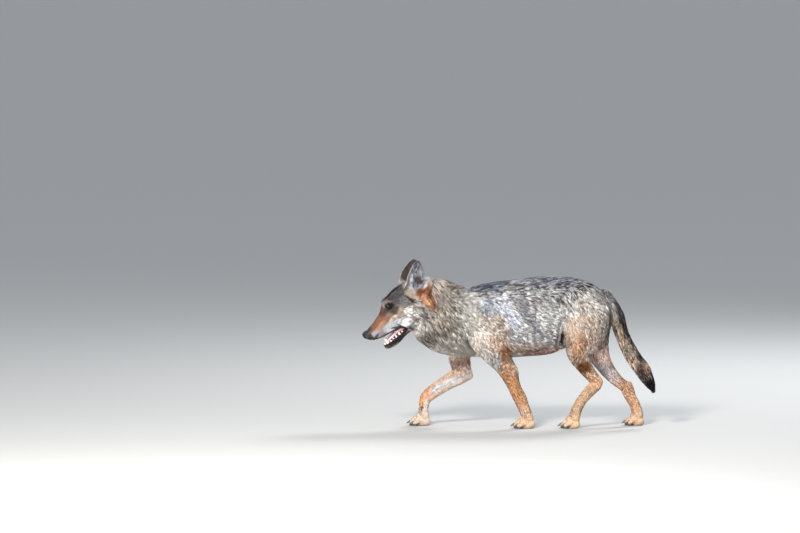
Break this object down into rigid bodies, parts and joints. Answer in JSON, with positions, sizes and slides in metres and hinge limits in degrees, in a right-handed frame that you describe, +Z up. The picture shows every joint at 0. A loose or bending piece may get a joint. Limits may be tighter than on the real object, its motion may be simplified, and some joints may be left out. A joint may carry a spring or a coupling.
{
  "type": "wolf",
  "caption": "Life-size grey wolf in mid stride, head low and mouth open, standing on its paws as a still model.",
  "frame": {"origin": "on the floor, under the middle of the whole outline", "axes": "-X the way the wolf faces, +Y its right side, +Z up"},
  "size_m": [1.2327, 0.2256, 0.7029],
  "materials": {
    "fur_grey": "grey, buff and black-tipped summer coat, rough",
    "fur_tan": "short tawny leg hair, rough",
    "claw_horn": "dark horn, satin",
    "nose_black": "damp pebbled nose leather, satin",
    "tongue_pink": "wet tongue and gums, glossy",
    "tooth_ivory": "tooth enamel, glossy",
    "eye_amber": "wet amber eye with a black pupil, glossy"
  },
  "bodies": {
    "root": {"trunk": "fur_grey", "neck": "fur_grey", "head": "fur_grey", "jaw": "fur_grey", "ear_left": "fur_grey", "ear_right": "fur_grey", "tail": "fur_grey", "shoulder_left": "fur_grey", "shoulder_right": "fur_grey", "thigh_left": "fur_grey", "thigh_right": "fur_grey", "foreleg_left": "fur_tan", "foreleg_right": "fur_tan", "hindleg_left": "fur_tan", "hindleg_right": "fur_tan", "shank_left": "fur_tan", "shank_right": "fur_tan", "paw_front_left": "fur_tan", "paw_front_right": "fur_tan", "paw_hind_left": "fur_tan", "paw_hind_right": "fur_tan", "claw_front_left_1": "claw_horn", "claw_front_left_2": "claw_horn", "claw_front_left_3": "claw_horn", "claw_front_left_4": "claw_horn", "claw_front_right_1": "claw_horn", "claw_front_right_2": "claw_horn", "claw_front_right_3": "claw_horn", "claw_front_right_4": "claw_horn", "claw_hind_left_1": "claw_horn", "claw_hind_left_2": "claw_horn", "claw_hind_left_3": "claw_horn", "claw_hind_left_4": "claw_horn", "claw_hind_right_1": "claw_horn", "claw_hind_right_2": "claw_horn", "claw_hind_right_3": "claw_horn", "claw_hind_right_4": "claw_horn", "dewclaw_left": "claw_horn", "dewclaw_right": "claw_horn", "nose": "nose_black", "tongue": "tongue_pink", "eye_left": "eye_amber", "eye_right": "eye_amber"}
  },
  "joints": []
}
